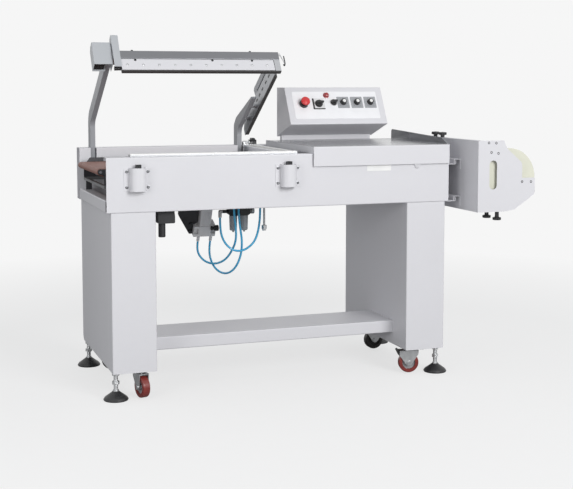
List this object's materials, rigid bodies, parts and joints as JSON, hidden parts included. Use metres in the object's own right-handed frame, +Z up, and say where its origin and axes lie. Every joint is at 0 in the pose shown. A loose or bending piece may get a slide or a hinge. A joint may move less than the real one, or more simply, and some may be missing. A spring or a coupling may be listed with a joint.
{
  "type": "L bar sealer",
  "caption": "L-bar heat sealer: a hinged L-shaped sealing arm over a belt conveyor and film table, with a sloping control box and a hooked-on film roll cradle.",
  "frame": {"origin": "centre of the bounding box at floor level", "axes": "+X to the right along the front, from the conveyor end to the film cradle; +Y from the front to the back; +Z up"},
  "size_m": [1.7343, 0.7937, 1.3639],
  "materials": {
    "body_paint": "semi-gloss",
    "arm_paint": "semi-gloss",
    "table_paint": "gloss",
    "aluminium": "satin",
    "steel": "satin",
    "zinc": "satin",
    "cast_black": "matt",
    "black_paint": "matt",
    "seal_white": "matt",
    "seal_dark": "matt",
    "belt": "matt",
    "panel_grey": "matt",
    "plate_grey": "matt",
    "black_plastic": "matt",
    "red_plastic": "gloss",
    "foot_black": "matt",
    "wheel_red": "satin",
    "tube_blue": "gloss",
    "bowl_grey": "gloss",
    "film": "gloss"
  },
  "bodies": {
    "machine": {"air_bowls": "bowl_grey", "air_cylinder": "aluminium", "air_tube_left": "tube_blue", "air_tube_right": "tube_blue", "air_tube_supply": "tube_blue", "air_unit": "aluminium", "castor_plates": "zinc", "control_box": "body_paint", "control_face": "panel_grey", "conveyor_belt": "belt", "conveyor_frame": "body_paint", "cross_rail": "body_paint", "cylinder_bracket": "black_paint", "dial_plates": "plate_grey", "end_beam_left": "body_paint", "end_panel_right": "body_paint", "film_table": "table_paint", "front_panel": "body_paint", "gearmotor": "black_paint", "jaw_pads": "seal_white", "jaw_rails": "aluminium", "leg_left": "body_paint", "leg_right": "body_paint", "levelling_feet": "foot_black", "lower_shelf": "body_paint", "magnet_covers": "body_paint", "magnets": "cast_black", "pilot_lamp": "red_plastic", "rear_beam": "body_paint", "shaft_bearings": "cast_black"},
    "arm": {"arm_shaft": "steel", "lever_left": "arm_paint", "lever_right": "arm_paint", "front_bar": "aluminium", "front_plate": "body_paint", "side_bar": "aluminium", "seal_strips": "seal_dark", "arm_covers": "body_paint"},
    "rod": {"piston_rod": "steel"},
    "drive_roller": {"drive_roller": "steel"},
    "idler_roller": {"idler_roller": "steel"},
    "estop": {"estop_button": "red_plastic"},
    "cam_switch": {"cam_switch_knob": "black_plastic"},
    "selector": {"selector_knob": "black_plastic"},
    "dial_1": {"dial_knob_1": "black_plastic"},
    "dial_2": {"dial_knob_2": "black_plastic"},
    "dial_3": {"dial_knob_3": "black_plastic"},
    "cradle": {"cradle_frame": "body_paint", "clamp_knobs": "black_plastic"},
    "roll": {"film_roll": "film"},
    "fork_front_left": {"castor_fork_front_left": "zinc"},
    "wheel_front_left": {"castor_wheel_front_left": "wheel_red"},
    "fork_front_right": {"castor_fork_front_right": "zinc"},
    "wheel_front_right": {"castor_wheel_front_right": "wheel_red"},
    "pedal_front_right": {"brake_pedal_front_right": "black_plastic"},
    "fork_rear_left": {"castor_fork_rear_left": "zinc"},
    "wheel_rear_left": {"castor_wheel_rear_left": "wheel_red"},
    "fork_rear_right": {"castor_fork_rear_right": "zinc"},
    "wheel_rear_right": {"castor_wheel_rear_right": "wheel_red"},
    "pedal_rear_right": {"brake_pedal_rear_right": "black_plastic"}
  },
  "joints": [
    {"name": "arm_hinge", "type": "hinge", "parent": "machine", "child": "arm", "pos_m": [-0.48485, 0.3565, 0.812], "axis": [1, 0, 0], "range_deg": [0, 33], "stiffness_Nm_per_rad": 70, "springref_deg": -68.75},
    {"name": "piston_slide", "type": "slide", "parent": "machine", "child": "rod", "axis": [0, 0.4305, -0.9026], "range_m": [0, 0.08521]},
    {"name": "drive_roller_spin", "type": "hinge", "parent": "machine", "child": "drive_roller", "pos_m": [-0.62685, 0.0445, 0.78], "axis": [0, 1, 0], "continuous": true},
    {"name": "idler_roller_spin", "type": "hinge", "parent": "machine", "child": "idler_roller", "pos_m": [-0.85485, 0.0445, 0.851], "axis": [0, 1, 0], "continuous": true},
    {"name": "estop_press", "type": "slide", "parent": "machine", "child": "estop", "axis": [0, 0.8768, -0.4808], "range_m": [0, 0.004], "stiffness_N_per_m": 800, "springref_m": -0.004},
    {"name": "cam_switch_turn", "type": "hinge", "parent": "machine", "child": "cam_switch", "pos_m": [0.15715, 0.20776, 1.09445], "axis": [0, -0.8768, 0.4808], "range_deg": [-90, 0]},
    {"name": "selector_turn", "type": "hinge", "parent": "machine", "child": "selector", "pos_m": [0.22665, 0.21064, 1.09972], "axis": [0, -0.8768, 0.4808], "range_deg": [-60, 0]},
    {"name": "dial_1_turn", "type": "hinge", "parent": "machine", "child": "dial_1", "pos_m": [0.27115, 0.21064, 1.09972], "axis": [0, -0.8768, 0.4808], "range_deg": [-140, 140]},
    {"name": "dial_2_turn", "type": "hinge", "parent": "machine", "child": "dial_2", "pos_m": [0.33415, 0.21064, 1.09972], "axis": [0, -0.8768, 0.4808], "range_deg": [-140, 140]},
    {"name": "dial_3_turn", "type": "hinge", "parent": "machine", "child": "dial_3", "pos_m": [0.39715, 0.21064, 1.09972], "axis": [0, -0.8768, 0.4808], "range_deg": [-140, 140]},
    {"name": "castor_front_left_swivel", "type": "hinge", "parent": "machine", "child": "fork_front_left", "pos_m": [-0.72285, -0.2055, 0.09], "axis": [0, 0, 1], "continuous": true},
    {"name": "castor_front_left_spin", "type": "hinge", "parent": "fork_front_left", "child": "wheel_front_left", "pos_m": [-0.71801, -0.22491, 0.044], "axis": [0.9703, 0.2419, 0], "continuous": true},
    {"name": "castor_front_right_swivel", "type": "hinge", "parent": "machine", "child": "fork_front_right", "pos_m": [0.41315, -0.2055, 0.09], "axis": [0, 0, 1], "continuous": true},
    {"name": "castor_front_right_spin", "type": "hinge", "parent": "fork_front_right", "child": "wheel_front_right", "pos_m": [0.39374, -0.20066, 0.044], "axis": [-0.2419, -0.9703, 0], "continuous": true},
    {"name": "castor_front_right_pedal", "type": "hinge", "parent": "fork_front_right", "child": "pedal_front_right", "pos_m": [0.36172, -0.19268, 0.084], "axis": [-0.2419, -0.9703, 0], "range_deg": [0, 12]},
    {"name": "castor_rear_left_swivel", "type": "hinge", "parent": "machine", "child": "fork_rear_left", "pos_m": [-0.72285, 0.2445, 0.09], "axis": [0, 0, 1], "continuous": true},
    {"name": "castor_rear_left_spin", "type": "hinge", "parent": "fork_rear_left", "child": "wheel_rear_left", "pos_m": [-0.74017, 0.2545, 0.044], "axis": [-0.5, -0.866, 0], "continuous": true},
    {"name": "castor_rear_right_swivel", "type": "hinge", "parent": "machine", "child": "fork_rear_right", "pos_m": [0.41315, 0.2445, 0.09], "axis": [0, 0, 1], "continuous": true},
    {"name": "castor_rear_right_spin", "type": "hinge", "parent": "fork_rear_right", "child": "wheel_rear_right", "pos_m": [0.43315, 0.2445, 0.044], "axis": [0, 1, 0], "continuous": true},
    {"name": "castor_rear_right_pedal", "type": "hinge", "parent": "fork_rear_right", "child": "pedal_rear_right", "pos_m": [0.46615, 0.2445, 0.084], "axis": [0, 1, 0], "range_deg": [0, 12]},
    {"name": "cradle_slide", "type": "slide", "parent": "machine", "child": "cradle", "axis": [0, 1, 0], "range_m": [-0.08, 0.2]},
    {"name": "film_roll_spin", "type": "hinge", "parent": "cradle", "child": "roll", "pos_m": [0.75015, -0.1215, 0.805], "axis": [0, 1, 0], "continuous": true}
  ],
  "couplings": [
    {"joint": "piston_slide", "follows": "arm_hinge", "m_per_rad": 0.14792},
    {"joint": "idler_roller_spin", "follows": "drive_roller_spin", "ratio": 2.5}
  ]
}
